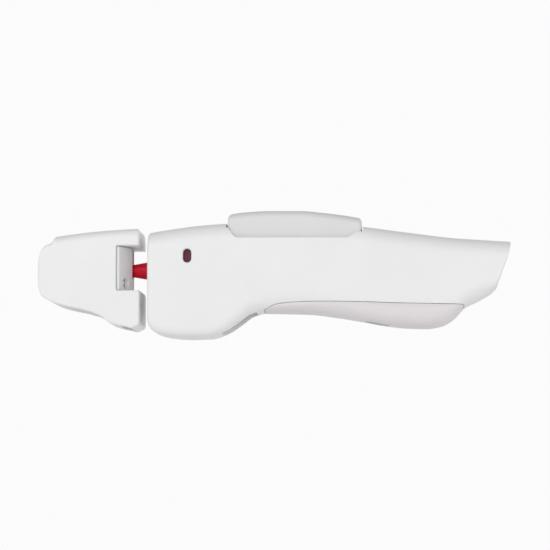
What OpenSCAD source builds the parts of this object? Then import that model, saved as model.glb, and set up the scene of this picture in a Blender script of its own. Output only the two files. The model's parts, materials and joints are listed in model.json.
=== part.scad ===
// Stair gate latch: a keeper cap for the gate's post, and a handle with a spring bolt for its leaf.
// Millimetres. +Z is up, +X runs from the keeper to the handle's tip, and -Y is the front.
// The origin is the centre of the post's top face. The latch is drawn closed, with the button out.

/* [Part] */
// Sub-part to draw

/* [Gate members] */
// Post's width across the opening
post_width = 40; // [34:0.5:46]
// Post's depth from front to back
post_depth = 20; // [16:0.5:24]
// Height of the leaf's top rail
rail_height = 20; // [17:0.5:20]
// Depth of the leaf's top rail
rail_depth = 15; // [12:0.5:16]
// Width of the leaf's end upright
upright_width = 15; // [12:0.5:15.5]
// Depth of the leaf's end upright
upright_depth = 20; // [15:0.5:24]
// Diameter of the leaf's round bar
bar_d = 12; // [9:0.5:14]
// Distance from the upright's near face to the bar's axis
bar_pitch = 75.5; // [70:0.5:80]
// Clearance around every gate member
member_fit = 0.3; // [0.1:0.05:0.5]
// Lead-in at the mouth of the upright's pocket
pocket_lead = 2.6; // [1:0.1:3]

/* [Keeper] */
// Keeper's depth from front to back
keeper_depth = 35; // [31:0.5:40]
// Length of the cheeks along the post's width
cheek_length = 34.7; // [30:0.1:38]
// Reach of the keeper's nose past the post
keeper_nose = 15; // [14:0.1:18]
// How much further the chin reaches than the upper lip
chin_reach = 1.5; // [0.5:0.1:2.5]
// Roof's height at the cheek end
roof_low = 5.7; // [5:0.1:7]
// Roof's height at the mouth
roof_high = 9.9; // [9:0.1:12]
// Depth of the keeper's chin below the post's top
keeper_drop = 40.6; // [37:0.1:45]
// Roof edge's corner radius
roof_radius = 5; // [3:0.5:6]
// Distance between the two holes that fix the keeper to the post
post_hole_pitch = 16; // [14:0.5:18]
// Diameter of those holes
post_hole_d = 4.2; // [3.5:0.1:5]

/* [Keeper mouth and strike] */
// Depth of the mouth behind the keeper's end
mouth_depth = 10.2; // [9.6:0.1:10.8]
// Gap left over the bolt's tip when the leaf is lifted right up
lip_gap = 1.75; // [0.8:0.05:2.5]
// Mouth's lower edge below the post's top
mouth_drop = 21.5; // [20:0.5:24]
// Height of the strike's crest over the mouth's floor
strike_crest = 6.8; // [5.5:0.1:7]
// Gap around the strike block
strike_fit = 0.3; // [0.1:0.05:0.5]
// Gap between the bolt's tip and the sides of the strike's slot
slot_gap = 0.8; // [0.5:0.05:0.9]

/* [Handle shell] */
// Gap between the keeper's end and the handle's nose
nose_gap = 5.4; // [5:0.1:6]
// Handle's length from nose to tip
handle_length = 181.3; // [172:0.1:220]
// Handle's depth at the nose
nose_depth = 38; // [37:0.5:46]
// Handle's depth at the tip
tip_depth = 34.4; // [33.5:0.1:42]
// Highest point of the shell above the rail
crown = 13.8; // [13.4:0.1:15]
// Depth of the nose below the rail's top
nose_drop = 44.7; // [42:0.1:52]
// Depth of the throat behind the nose
throat_drop = 31.8; // [31.4:0.1:33]
// Deepest point of the grip
grip_drop = 39.9; // [37:0.1:46]
// Corner radius around the handle
edge_radius = 9; // [7:0.5:10]
// Corner radius under the nose
nose_radius = 5; // [4:0.5:7]
// Shell's wall thickness
shell_wall = 2.2; // [1.8:0.1:2.4]
// Thickness of the nose's end wall
end_wall = 2.6; // [2:0.1:2.6]
// Gap where two mouldings meet
seam = 0.1; // [0.05:0.05:0.3]
// Width of the indicator window
window_width = 4.2; // [3:0.1:4.6]
// Height of the indicator window
window_height = 7; // [5:0.1:8]
// Distance between the two holes that fix the handle to the rail
rail_hole_pitch = 44; // [40:0.5:46]
// Diameter of those holes
rail_hole_d = 4.2; // [3.5:0.1:5]

/* [Thumb button] */
// Button's start behind the nose
button_start = 40.1; // [39.6:0.1:41]
// Button's length
button_length = 66.9; // [66:0.1:80]
// Height of the button's highest point above the rail
button_height = 19.2; // [19:0.1:22]
// Button's width
button_width = 30.6; // [27:0.1:30.8]
// Button's wall thickness
button_wall = 2.2; // [1.8:0.1:2.4]
// Gap between the button's ends and the shell
button_gap = 0.8; // [0.5:0.1:1]
// How far the button presses in
button_travel = 4; // [3:0.1:4.2]

/* [Bolt] */
// Diameter of the bolt's shank
shank_d = 9.3; // [8:0.1:9.6]
// Diameter of the bolt's tip
tip_d = 5.5; // [4.5:0.1:6]
// Length of the bolt's tip in front of its cone
tip_length = 4.4; // [3.5:0.1:5]
// Diameter of the bolt's tail
tail_d = 5; // [4:0.1:5.5]
// How far the bolt stands out of the nose
bolt_reach = 13.8; // [13.2:0.1:14.2]
// How far the button draws the bolt back
bolt_travel = 6; // [5:0.1:6]
// How far the leaf can lift while the bolt is out
lift_travel = 7; // [5:0.1:7]
// Radial clearance of a sliding round part in its guide
slide_fit = 0.05; // [0.02:0.01:0.1]
// Bolt's radial clearance in the end wall
bolt_gap = 0.3; // [0.2:0.05:0.5]
// Diameter of the cross pin
pin_d = 3; // [2.5:0.1:3.2]

/* [Screws and springs] */
// Diameter of the screws' threads
screw_d = 2.9; // [2.5:0.1:3]
// Diameter of the screws' heads
head_d = 5; // [4.5:0.1:5.2]
// Height of the screws' heads
head_height = 1.6; // [1.2:0.1:2]
// Bolt spring's wire diameter
bolt_wire = 0.7; // [0.5:0.05:0.8]
// Button springs' wire diameter
button_wire = 0.6; // [0.4:0.05:0.7]

/* [Hidden] */
$fn = 48;
ARC_STEPS = 5;

WHITE = "#F2F2F2";
GREY = "#D4D2D4";
BUTTON_GREY = "#C9C9CB";
RED = "#C40C2A";
STEEL = "#A9ADB2";
NYLON = "#3A3A3C";

// Keeper stations
post_face = post_width / 2;
mouth_x = post_face + keeper_nose;
floor_x = mouth_x - mouth_depth;
cheek_x = post_face - cheek_length;
roof_angle = atan((roof_high - roof_low) / (mouth_x - cheek_x));
crest_x = floor_x + strike_crest;
strike_half = keeper_depth / 2 - 1.5;
strike_screw_y = 10;
strike_screw_z = -mouth_drop + 4;
strike_seat_x = floor_x + 2.1;

// Handle stations
nose_x = mouth_x + nose_gap;
tip_x = nose_x + handle_length;
rail_start = nose_x + 39.1;
bar_x = rail_start + bar_pitch;
arm_x = nose_x + 57.9;
bolt_z = -rail_height / 2 - 0.5;
tunnel_half = rail_depth / 2 + member_fit;
tunnel_wall = 1.4;
web = 1;
tunnel_out = tunnel_half + tunnel_wall;
roof_top = member_fit + web;
pocket_half = upright_depth / 2 + member_fit;
rib = 1.6;

// Mouth's upper edge, which stops the bolt as the leaf lifts
mouth_top = bolt_z + tip_d / 2 + lift_travel + lip_gap;

// Bolt stations
bolt_tip_x = nose_x - bolt_reach;
cone_x = bolt_tip_x + tip_length;
bush_start = nose_x + end_wall + 0.1;
bush_end = bush_start + 7.1;
bush_d = 14;
flange_d = 17;
fork_start = bush_end + 0.3;
fork_length = 6;
pin_x = fork_start + fork_length / 2;
shoulder_x = fork_start + fork_length + 0.5;
plate_x = rail_start - 10.5;
plate_thick = 1.5;
tail_end = plate_x + plate_thick + 2.2;
clip_x = plate_x + plate_thick + 0.2;
clip_thick = 0.8;
pin_half = half_depth(plate_x) - shell_wall - 0.5;
flag_in = pin_half - 0.8;
flag_thick = 0.9;
window_x = nose_x + 20.1;
window_z = bolt_z + 6.1;

// Draw bar and wedge
bar_low = roof_top + 0.3;
bar_thick = 2.5;
bar_top = bar_low + bar_thick;
fork_in = shank_d / 2 + 0.6;
fork_thick = 2;
strip_half = 5.4;
ramp_start = nose_x + 47.6;
ramp_slope = button_travel / bolt_travel;
foot_rise = 3.3;
foot_length = foot_rise / ramp_slope;
ramp_length = bolt_travel + foot_length;
ramp_top = bar_top + ramp_length * ramp_slope;
foot_start = ramp_start + bolt_travel;
foot_gap = 0.3;
wedge_half = 3;

// Button
button_x = nose_x + button_start;
button_end = button_x + button_length;
button_half = button_width / 2;
plate_low = button_height - 5.8;
wedge_screw_y = 7;
hook_height = 1.8;
spring_x = [button_x + 33.5, button_end - 7.5];
spring_low = roof_top + 0.2;
spring_high = button_height - 6.4;
spring_r = 2.9;

// Shell screws, as [x, z], and the plane their heads sit on
SHELL_SCREWS = [[nose_x + 10.6, -nose_drop + 13.7], [nose_x + 30.6, -nose_drop + 11.2],
                [along(0.11), -rail_height - 4.2], [along(0.71), -rail_height - 4.2]];
seat_y = 14;
screw_reach = 12;
boss_d = 6;
head_boss_d = 7.8;

// Holes that a buyer's screws go through, as their centres
post_holes_x = post_face - 16;
post_holes_z = -14;
rail_holes_x = bar_x - 1;
rail_holes_z = -rail_height / 2;

function along(f) = arm_x + f * (tip_x - arm_x);
function mix(a, b, f) = a + (b - a) * f;

// The shell's top line, the handle's underside and the line where shell and grip part, as [x, z]
TOP_LINE = [[nose_x, 0.59 * crown], [nose_x + 12, 0.735 * crown], [nose_x + 23, 0.85 * crown],
            [nose_x + 38, 0.94 * crown], [nose_x + 55, 0.985 * crown], [along(0.12), crown],
            [along(0.265), 0.935 * crown], [along(0.41), 0.8 * crown], [along(0.5), 0.68 * crown],
            [along(0.61), 0.54 * crown], [along(0.77), 0.35 * crown], [along(0.88), 0.275 * crown],
            [tip_x, 0.2 * crown]];
UNDER_LINE = [[nose_x, -nose_drop + 6.1], [nose_x + 2.6, -nose_drop + 3.1], [nose_x + 9, -nose_drop + 1],
              [nose_x + 20, -nose_drop], [nose_x + 30.5, -nose_drop + 0.3], [nose_x + 39.2, -nose_drop + 3],
              [nose_x + 46, -mix(throat_drop, nose_drop, 0.43)],
              [nose_x + 52.2, -mix(throat_drop, nose_drop, 0.1)],
              [arm_x, -throat_drop], [along(0.05), -throat_drop - 0.2], [along(0.11), -throat_drop - 0.3],
              [along(0.19), -mix(throat_drop, grip_drop, 0.08)],
              [along(0.28), -mix(throat_drop, grip_drop, 0.25)],
              [along(0.4), -mix(throat_drop, grip_drop, 0.55)],
              [along(0.5), -mix(throat_drop, grip_drop, 0.83)],
              [along(0.58), -mix(throat_drop, grip_drop, 0.96)], [along(0.66), -grip_drop],
              [along(0.725), -mix(throat_drop, grip_drop, 0.84)],
              [along(0.772), -mix(throat_drop, grip_drop, 0.42)],
              [along(0.818), -rail_height - 9.4], [along(0.877), -rail_height - 5.8],
              [along(0.942), -rail_height], [along(0.97), -rail_height * 0.57],
              [along(0.994), -rail_height * 0.14], [tip_x, 0.03 * rail_height]];
PART_LINE = [[along(0.002), -throat_drop + 0.5], [along(0.05), -throat_drop + 3.2],
             [along(0.11), -throat_drop + 4.2], [along(0.22), -throat_drop + 4.6],
             [along(0.4), -throat_drop + 4.3], [along(0.5), -throat_drop + 3.8],
             [along(0.62), -throat_drop + 3.4], [along(0.812), -throat_drop + 2.9]];
BUTTON_TOP = [[0, button_height - 1.9], [0.06, button_height - 1.1], [0.17, button_height - 0.4],
              [0.3, button_height], [0.56, button_height], [0.7, button_height - 1],
              [0.8, button_height - 1.8], [0.93, button_height - 3.1], [1, button_height - 4.1]];

function top_z(x) = lookup(x, TOP_LINE);
function under_z(x) = lookup(x, UNDER_LINE);
function part_z(x) = lookup(x, PART_LINE);
function low_radius(x) = mix(nose_radius, edge_radius, min(1, max(0, (x - nose_x - 36) / 22)));
function half_depth(x) = mix(nose_depth, tip_depth, (x - nose_x) / handle_length) / 2;
function button_top_z(x) = lookup((x - button_x) / button_length, BUTTON_TOP);

// Points [y, z] on an arc about [y, z], from angle a0 to a1
function arc(y, z, r, a0, a1) =
    [for (i = [0:ARC_STEPS]) let (a = mix(a0, a1, i / ARC_STEPS)) [y + r * cos(a), z + r * sin(a)]];

// Half of the handle's outline across x, from the underside's middle round to the top's middle
function handle_section(x, inset, y0) =
    let (w = half_depth(x) - inset,
         zt = top_z(x) - inset,
         zb = under_z(x) + inset,
         most = (zt - zb) / 2 - 0.2,
         r = max(0.3, min(edge_radius - inset, most)),
         q = max(0.3, min(low_radius(x) - inset, most)))
    concat([[y0, zb]], arc(w - q, zb + q, q, -90, 0), arc(w - r, zt - r, r, 0, 90), [[y0, zt]]);

// Half of the grip's outline across x: the handle's own, up to the parting line
function grip_section(x) =
    let (w = half_depth(x),
         zb = under_z(x),
         zt = part_z(x) - seam,
         s = (zt - 0.3 - zb - edge_radius) / edge_radius,
         a = s < 0 ? asin(s) : 0)
    concat(arc(w - edge_radius, zb + edge_radius, edge_radius, -90, a),
           [[w - edge_radius + edge_radius * cos(a) + 0.01, zt]]);

// Half of the button's outline across x
function button_section(x) =
    let (r = 3.6, zt = button_top_z(x) - 0.7, low = bar_low - 0.6)
    concat([[button_half, low]], arc(button_half - r, zt - r, r, 0, 90), [[0, zt + 0.7]]);

// A half section and its mirror image, as one closed outline
function both_sides(half) =
    concat(half, [for (i = [len(half) - 1:-1:0]) if (half[i][0] > 0) [-half[i][0], half[i][1]]]);

// Control stations of a line between two limits
function stations(line, from, to) =
    concat([from], [for (p = line) if (p[0] > from + 0.5 && p[0] < to - 0.5) p[0]], [to]);

// A skin over sections [y, z] standing at the stations xs
module loft(xs, sections) {
    n = len(sections[0]);
    last = len(xs) - 1;
    polyhedron(
        points = [for (i = [0:last]) for (p = sections[i]) [xs[i], p[0], p[1]]],
        faces = concat(
            [[for (j = [0:n - 1]) j]],
            [[for (j = [n - 1:-1:0]) last * n + j]],
            [for (i = [0:last - 1]) for (j = [0:n - 1])
                let (k = (j + 1) % n) [i * n + j, (i + 1) * n + j, (i + 1) * n + k]],
            [for (i = [0:last - 1]) for (j = [0:n - 1])
                let (k = (j + 1) % n) [i * n + j, (i + 1) * n + k, i * n + k]]));
}

// A box given by its two opposite corners
module box(a, b) {
    translate(a)
        cube(b - a);
}

// A cylinder along X, from x0 to x1
module rod_x(x0, x1, y, z, d1, d2) {
    translate([x0, y, z])
        rotate([0, 90, 0])
            cylinder(h = x1 - x0, d1 = d1, d2 = d2);
}

// A cylinder along Y, from y0 to y1
module rod_y(x, y0, y1, z, d) {
    translate([x, y0, z])
        rotate([-90, 0, 0])
            cylinder(h = y1 - y0, d = d);
}

// A cylinder along Z, from z0 to z1
module rod_z(x, y, z0, z1, d) {
    translate([x, y, z0])
        cylinder(h = z1 - z0, d = d);
}

// A profile in X and Z, extruded from y0 to y1
module slab(points, y0, y1) {
    translate([0, y1, 0])
        rotate([90, 0, 0])
            linear_extrude(height = y1 - y0)
                polygon(points);
}

// Outline points with every corner replaced by an arc of radius r
function rounded(points, r) =
    let (n = len(points))
    [for (i = [0:n - 1])
        let (p = points[i],
             u = unit(points[(i + n - 1) % n] - p),
             v = unit(points[(i + 1) % n] - p),
             half = acos(u * v) / 2,
             c = p + unit(u + v) * r / sin(half),
             a = (c - u * (c - p) * u - p) / r,
             b = (c - v * (c - p) * v - p) / r)
        for (k = [0:4])
            let (t = k / 4, d = unit(a * (1 - t) + b * t))
            c - d * r];
function unit(v) = v / norm(v);

// ---------------------------------------------------------------- keeper

KEEPER_OUTLINE = [[cheek_x, -5], [cheek_x + 4.5, 1.5], [cheek_x + 6.8, 2], [cheek_x + 8.6, roof_low],
                  [mouth_x, roof_high], [mouth_x, -mouth_drop / 2], [mouth_x + chin_reach, -mouth_drop / 2],
                  [mouth_x + chin_reach, -keeper_drop + 3], [mouth_x - 2.5, -keeper_drop],
                  [post_face + 1, -keeper_drop + 3], [post_face - 2, -keeper_drop + 5.6],
                  [cheek_x + 2, -24.4], [cheek_x, -19]];

module keeper_cap() {
    inner = post_depth / 2 + member_fit / 3;
    color(WHITE)
        difference() {
            intersection() {
                slab(rounded(KEEPER_OUTLINE, 0.9), -keeper_depth / 2, keeper_depth / 2);
                keeper_rounding();
            }
            // The post's socket, open below and on the rail's side
            box([cheek_x - 5, -inner, -keeper_drop - 5], [post_face + member_fit / 3, inner, 0]);
            roof_cores();
            cheek_cores();
            chin_core();
            // The mouth, open to the front and the back
            slab(rounded([[floor_x, mouth_top], [mouth_x + 8, mouth_top],
                          [mouth_x + 8, -mouth_drop], [floor_x, -mouth_drop]], 0.9),
                 -keeper_depth, keeper_depth);
            box([floor_x, -strike_half - strike_fit, -mouth_drop],
                [mouth_x, strike_half + strike_fit, mouth_top]);
            post_fixing_holes();
            for (y = [-strike_screw_y, strike_screw_y])
                rod_x(post_face + 0.7, floor_x + 1, y, strike_screw_z,
                      screw_d + 2 * slide_fit, screw_d + 2 * slide_fit);
        }
}

// The rounded upper edges, following the roof's slope
module keeper_rounding() {
    w = keeper_depth / 2;
    r = roof_radius;
    translate([cheek_x, 0, roof_low - 0.1])
        rotate([0, -roof_angle, 0])
            translate([-20, 0, 0])
                rotate([90, 0, 90])
                    linear_extrude(height = 110)
                        union() {
                            translate([-w, -80])
                                square([2 * w, 80 - r]);
                            translate([-w + r, -80])
                                square([2 * (w - r), 80]);
                            for (s = [-1, 1])
                                translate([s * (w - r), -r])
                                    circle(r = r);
                        }
}

// Hollows above the socket's ceiling, either side of a rib that sits on the post
module roof_cores() {
    reach = post_depth / 2 - 1.5;
    for (s = [-1, 1])
        mirror([0, s < 0 ? 1 : 0, 0])
            box([3.5, 3.5, -1], [post_face - 3, reach, roof_low - 1.5]);
}

// Hollows inside the two cheeks, open below, around the bosses of the fixing holes
module cheek_cores() {
    y0 = post_depth / 2 + 2;
    y1 = keeper_depth / 2 - 2.5;
    for (s = [-1, 1])
        mirror([0, s < 0 ? 1 : 0, 0])
            difference() {
                slab([[cheek_x + 3, -2], [post_face - 3, -2], [post_face - 3, -keeper_drop - 3],
                      [cheek_x + 3, -keeper_drop - 3]], y0, y1);
                for (i = [-0.5, 0.5])
                    rod_y(post_holes_x + i * post_hole_pitch, y0 - 1, y1 + 1, post_holes_z,
                          post_hole_d + 4);
            }
}

// Hollow inside the chin, open below
module chin_core() {
    box([floor_x + 1.6, -keeper_depth / 2 + 3, -keeper_drop - 2],
        [mouth_x - 2.6, keeper_depth / 2 - 3, -mouth_drop - 3]);
}

// Two holes through the back cheek
module post_fixing_holes() {
    for (i = [-0.5, 0.5])
        rod_y(post_holes_x + i * post_hole_pitch, 0, keeper_depth, post_holes_z, post_hole_d);
}

// The ramps that push the bolt back, and the slot that it springs into
module strike_block() {
    slot_half = tip_d / 2 + slot_gap;
    color(BUTTON_GREY)
        difference() {
            translate([0, 0, -mouth_drop + strike_fit])
                linear_extrude(height = mouth_drop + mouth_top - 2 * strike_fit)
                    polygon([[floor_x + seam, -strike_half], [floor_x + 1.4, -strike_half],
                             [crest_x, -slot_half - 1.2], [crest_x, slot_half + 1.2],
                             [floor_x + 1.4, strike_half], [floor_x + seam, strike_half]]);
            // The slot is open at its top, so that the tip can rise with the leaf
            box([floor_x - 1, -slot_half, bolt_z - slot_half], [crest_x + 2, slot_half, mouth_top]);
            for (y = [-strike_screw_y, strike_screw_y]) {
                rod_x(floor_x - 1, crest_x + 1, y, strike_screw_z, screw_d + 0.2, screw_d + 0.2);
                rod_x(strike_seat_x, crest_x + 1, y, strike_screw_z, head_d + 0.4, head_d + 0.4);
            }
        }
}

module strike_screws() {
    color(STEEL)
        for (y = [-strike_screw_y, strike_screw_y])
            translate([strike_seat_x, y, strike_screw_z])
                rotate([0, 90, 0])
                    screw(strike_seat_x - post_face - 1);
}

// A pan head screw whose head sits on z = 0 and whose thread runs down
module screw(length) {
    difference() {
        union() {
            translate([0, 0, -length])
                cylinder(h = length + 0.1, d = screw_d);
            cylinder(h = head_height * 0.55, d = head_d);
            translate([0, 0, head_height * 0.55])
                cylinder(h = head_height * 0.45, d1 = head_d, d2 = head_d * 0.7);
        }
        for (a = [0, 90])
            rotate([0, 0, a])
                translate([-head_d * 0.28, -0.35, head_height * 0.4])
                    cube([head_d * 0.56, 0.7, head_height]);
    }
}

// ---------------------------------------------------------------- handle

// The half of the hollow shell on the +Y side, with its ribs, before each side's own holes
module shell_half() {
    outer = concat([nose_x], stations(UNDER_LINE, nose_x + 1.2, tip_x));
    cavity = stations(UNDER_LINE, nose_x + end_wall, along(0.93));
    difference() {
        union() {
            difference() {
                loft(outer, [for (i = [0:len(outer) - 1])
                                handle_section(outer[i], i == 0 ? 1.2 : 0, seam / 2)]);
                loft(cavity, [for (x = cavity) handle_section(x, shell_wall, -1)]);
            }
            ribs();
        }
        shell_cuts();
    }
}

// Ribs, webs and bosses inside one half
module ribs() {
    wall = nose_depth / 2 - 1.3;
    tail_wall = tip_depth / 2 - 0.9;
    y0 = seam / 2;
    difference() {
        union() {
            // Cradle of the bolt's bush
            box([nose_x + end_wall - 0.3, y0, -20], [bush_start + rib, wall, -1]);
            box([bush_end - 0.2 - rib, y0, -20], [bush_end - 0.2, wall, -1]);
            // Slot that holds the spring plate
            for (x = [plate_x - 0.2 - rib, plate_x + plate_thick + 0.2]) {
                box([x, 7.5, -nose_drop + edge_radius], [x + rib, wall, -1]);
                box([x, 7.5, -nose_drop + 1.4], [x + rib, nose_depth / 2 - edge_radius, -nose_drop + 20]);
            }
            // Stop behind the rail's end, which also backs the upright
            box([rail_start - member_fit - rib, y0, -nose_drop + 6],
                [rail_start - member_fit, pocket_half + 3, member_fit]);
        }
        rod_x(nose_x, bush_end + 1, 0, bolt_z, bush_d + 0.1, bush_d + 0.1);
        rod_x(plate_x, rail_start + 1, 0, bolt_z, tail_d + 1.6, tail_d + 1.6);
        // Room for the indicator flag
        box([nose_x, flag_in - 0.6, bolt_z - 4], [rail_start - 3, nose_depth, bolt_z + 12]);
    }
    // Rib behind the upright
    box([rail_start + upright_width + member_fit, y0, -throat_drop + 1.2],
        [rail_start + upright_width + member_fit + rib, pocket_half + 2, -rail_height]);
    // Rail tunnel: side wall, roof and floor
    box([rail_start - member_fit - rib, tunnel_half - 0.2, -rail_height - member_fit - web],
        [along(0.85), tunnel_out, roof_top]);
    box([rail_start - member_fit - rib, y0, member_fit - 0.2], [along(0.85), tunnel_out, roof_top]);
    box([rail_start + upright_width + member_fit, y0, -rail_height - member_fit - web],
        [along(0.85), tunnel_out, -rail_height - member_fit + 0.2]);
    // Ribs from the tunnel to the shell's side
    for (x = [rail_start + 20, rail_start + 46, bar_x + 13, along(0.83)])
        box([x, tunnel_out - 0.3, -rail_height + 1], [x + rib, tail_wall, -5]);
    // Cups that hold the button's springs
    for (x = spring_x)
        difference() {
            rod_z(x, 0, roof_top - 0.2, roof_top + 1.2, 2 * spring_r + 3.4);
            rod_z(x, 0, roof_top - 1, roof_top + 2, 2 * spring_r + 1.2);
            box([x - 8, -8, roof_top - 2], [x + 8, y0, roof_top + 3]);
        }
    // Screw bosses: those in the arm stop short of the grip's lugs
    for (i = [0:len(SHELL_SCREWS) - 1]) {
        p = SHELL_SCREWS[i];
        rod_y(p[0], i < 2 ? y0 : 2.3, half_depth(p[0]) - 1, p[1], boss_d);
        rod_y(p[0], seat_y - 1.8, half_depth(p[0]) - 1, p[1], head_boss_d);
    }
    // Bosses of the holes that fix the handle to the rail
    for (i = [-0.5, 0.5])
        rod_y(rail_holes_x + i * rail_hole_pitch, tunnel_half, tail_wall, rail_holes_z,
              rail_hole_d + 4);
}

// What both halves have cut out of them
module shell_cuts() {
    rod_x(nose_x - 1, nose_x + end_wall + 0.5, 0, bolt_z, shank_d + 2 * bolt_gap, shank_d + 2 * bolt_gap);
    // The leaf's rail, its end upright and its round bar
    box([rail_start - member_fit, -tunnel_half, -rail_height - member_fit],
        [tip_x + 5, tunnel_half, member_fit]);
    box([rail_start - member_fit, -pocket_half, -nose_drop - 5],
        [rail_start + upright_width + member_fit, pocket_half, -rail_height + 2]);
    // Lead-in at the mouth of the upright's pocket, under the stop rib
    box([rail_start - member_fit - pocket_lead, -pocket_half, -nose_drop - 5],
        [rail_start, pocket_half, -nose_drop + 6]);
    rod_z(bar_x, 0, -grip_drop - 5, -rail_height + 1, bar_d + 2 * member_fit);
    // Everything under the parting line, where the grip goes
    slab(concat(PART_LINE, [[along(0.812), -grip_drop - 10], [along(0.002), -grip_drop - 10]]), -1, 40);
    // The button's opening
    slab(rounded([[button_x - button_gap, 40], [button_x - button_gap, 11.4], [button_x + 3.8, 4.5],
                  [button_end - 6.6, 4.3], [button_end + button_gap, 10.6], [button_end + button_gap, 40]], 3),
         -1, 40);
    box([button_x - button_gap, -1, roof_top + 1], [button_end + button_gap, button_half + 0.4, 40]);
    // The indicator window
    for (z = [-1, 1])
        rod_y(window_x, nose_depth / 2 - shell_wall - 1.5, nose_depth, window_z
              + z * (window_height - window_width) / 2, window_width);
    box([window_x - window_width / 2, nose_depth / 2 - shell_wall - 1.5,
         window_z - (window_height - window_width) / 2],
        [window_x + window_width / 2, nose_depth, window_z + (window_height - window_width) / 2]);
}

module back_shell() {
    color(WHITE)
        difference() {
            shell_half();
            for (p = SHELL_SCREWS) {
                rod_y(p[0], -1, 40, p[1], screw_d + 0.3);
                rod_y(p[0], seat_y, 40, p[1], head_d + 0.4);
            }
            for (i = [-0.5, 0.5])
                rod_y(rail_holes_x + i * rail_hole_pitch, 0, 40, rail_holes_z, rail_hole_d);
        }
}

module front_shell() {
    color(WHITE)
        mirror([0, 1, 0])
            difference() {
                shell_half();
                for (p = SHELL_SCREWS)
                    rod_y(p[0], -1, screw_reach + 1, p[1], screw_d + 2 * slide_fit);
            }
}

module shell_screws() {
    color(STEEL)
        for (p = SHELL_SCREWS)
            translate([p[0], seat_y, p[1]])
                rotate([-90, 0, 0])
                    screw(seat_y + screw_reach);
}

module grip_insert() {
    xs = stations(UNDER_LINE, along(0.004), along(0.81));
    hollow = stations(UNDER_LINE, along(0.07), along(0.76));
    color(GREY)
        difference() {
            union() {
                difference() {
                    loft(xs, [for (x = xs) both_sides(grip_section(x))]);
                    slab(concat([for (x = hollow) [x, under_z(x) + 2.6]],
                                [[along(0.76), 0], [along(0.07), 0]]),
                         -tip_depth / 2 + 3.4, tip_depth / 2 - 3.4);
                }
                // Lugs that the shell screws pass through
                for (p = [SHELL_SCREWS[2], SHELL_SCREWS[3]])
                    box([p[0] - 4, -2, under_z(p[0]) + 1.5],
                        [p[0] + 4, 2, -rail_height - member_fit - web - 0.3]);
            }
            for (p = [SHELL_SCREWS[2], SHELL_SCREWS[3]])
                rod_y(p[0], -3, 3, p[1], screw_d + 0.3);
            rod_z(bar_x, 0, -grip_drop - 5, 0, bar_d + 2 * member_fit);
        }
}

module bolt_bush() {
    color(NYLON)
        difference() {
            union() {
                rod_x(bush_start, bush_end, 0, bolt_z, bush_d, bush_d);
                rod_x(bush_start + rib + 0.2, bush_end - 0.4 - rib, 0, bolt_z, flange_d, flange_d);
            }
            rod_x(bush_start - 1, bush_end + 1, 0, bolt_z, shank_d + 2 * slide_fit, shank_d + 2 * slide_fit);
        }
}

module spring_plate() {
    color(STEEL)
        difference() {
            box([plate_x, -9, bolt_z - 9], [plate_x + plate_thick, 9, bolt_z + 9]);
            rod_x(plate_x - 1, plate_x + 3, 0, bolt_z, tail_d + 2 * slide_fit, tail_d + 2 * slide_fit);
        }
}

// ---------------------------------------------------------------- button

module thumb_button() {
    xs = [for (p = BUTTON_TOP) button_x + p[0] * button_length];
    inner = [for (x = xs) if (x > button_x + button_wall && x < button_end - button_wall) x];
    ceiling = concat([button_x + button_wall], inner, [button_end - button_wall]);
    color(BUTTON_GREY)
        difference() {
            union() {
                difference() {
                    loft(xs, [for (x = xs) both_sides(button_section(x))]);
                    slab(concat([for (x = ceiling) [x, button_top_z(x) - button_wall - 0.8]],
                                [[button_end - button_wall, -5], [button_x + button_wall, -5]]),
                         -button_half + button_wall, button_half - button_wall);
                    // The bar and the roof of the rail tunnel pass below the end walls
                    box([button_x - 1, -tunnel_out - 0.4, -5],
                        [button_x + 5, tunnel_out + 0.4, bar_top + button_travel + 0.5]);
                    box([button_end - 5, -tunnel_out - 0.4, -5],
                        [button_end + 1, tunnel_out + 0.4, roof_top + button_travel + 0.5]);
                }
                button_hooks();
                // Posts inside the springs
                for (x = spring_x) {
                    rod_z(x, 0, spring_high + 0.2, button_top_z(x) - 1.5, 2 * spring_r + 1.8);
                    rod_z(x, 0, roof_top + button_travel + 2, spring_high + 1, 3.4);
                }
                // Bosses of the wedge's screws
                for (y = [-wedge_screw_y, wedge_screw_y])
                    rod_z(foot_start + foot_length / 2, y, plate_low + 2.1, button_height - 2.4, 6);
            }
            for (y = [-wedge_screw_y, wedge_screw_y])
                rod_z(foot_start + foot_length / 2, y, plate_low, button_height - 2,
                      screw_d + 2 * slide_fit);
        }
}

// Top of a hook, under the rounded edge of the shell's deck
function hook_z(x) = top_z(x) - shell_wall - 1.8;

// Hooks that catch under the shell's deck and keep the button in
module button_hooks() {
    for (s = [-1, 1])
        mirror([0, s < 0 ? 1 : 0, 0]) {
            box([button_x - 1.6, tunnel_out + 0.6, hook_z(button_x) - hook_height],
                [button_x + 1, tunnel_out + 3.4, hook_z(button_x)]);
            box([button_end - 1, tunnel_out + 0.6, hook_z(button_end) - hook_height],
                [button_end + 1.6, tunnel_out + 3.4, hook_z(button_end)]);
        }
}

// The slanted foot that pushes the draw bar back
module wedge_foot() {
    x1 = foot_start + foot_length;
    color(NYLON)
        difference() {
            union() {
                box([foot_start - 3, -10, plate_low], [x1 + 1.5, 10, plate_low + 2]);
                slab([[foot_start, plate_low + 1], [foot_start, ramp_z(foot_start) + foot_gap],
                      [x1, ramp_z(x1) + foot_gap], [x1, plate_low + 1]], -wedge_half, wedge_half);
            }
            for (y = [-wedge_screw_y, wedge_screw_y])
                rod_z(foot_start + foot_length / 2, y, plate_low - 1, plate_low + 4, screw_d + 0.3);
        }
}

function ramp_z(x) = bar_top + (x - ramp_start) * ramp_slope;

module wedge_screws() {
    color(STEEL)
        for (y = [-wedge_screw_y, wedge_screw_y])
            translate([foot_start + foot_length / 2, y, plate_low])
                rotate([180, 0, 0])
                    screw(3.4);
}

// ---------------------------------------------------------------- bolt

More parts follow.
